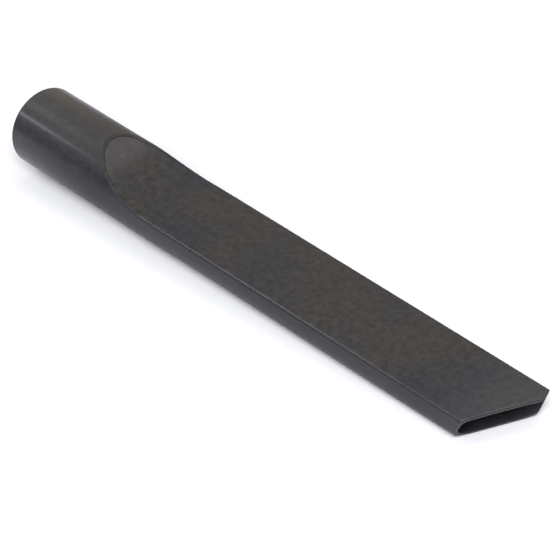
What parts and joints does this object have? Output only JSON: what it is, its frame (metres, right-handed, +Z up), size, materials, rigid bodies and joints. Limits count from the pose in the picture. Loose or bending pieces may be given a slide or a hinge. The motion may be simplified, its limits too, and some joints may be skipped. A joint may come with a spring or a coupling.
{
  "type": "vacuum crevice tool",
  "caption": "Long flat crevice tool for a vacuum cleaner: a round socket for the wand scoops down into a flat nozzle with a slanted open mouth.",
  "frame": {"origin": "centre of the socket's open mouth, on the socket's axis", "axes": "+X along the socket's axis to the nozzle's tip, +Y across the nozzle to the mouth's leading corner, +Z up out of the flat top panel"},
  "size_m": [0.2993, 0.0366, 0.035],
  "materials": {
    "body": "satin",
    "top_panel": "satin"
  },
  "bodies": {
    "root": {"body": "body", "top_panel": "top_panel"}
  },
  "joints": []
}
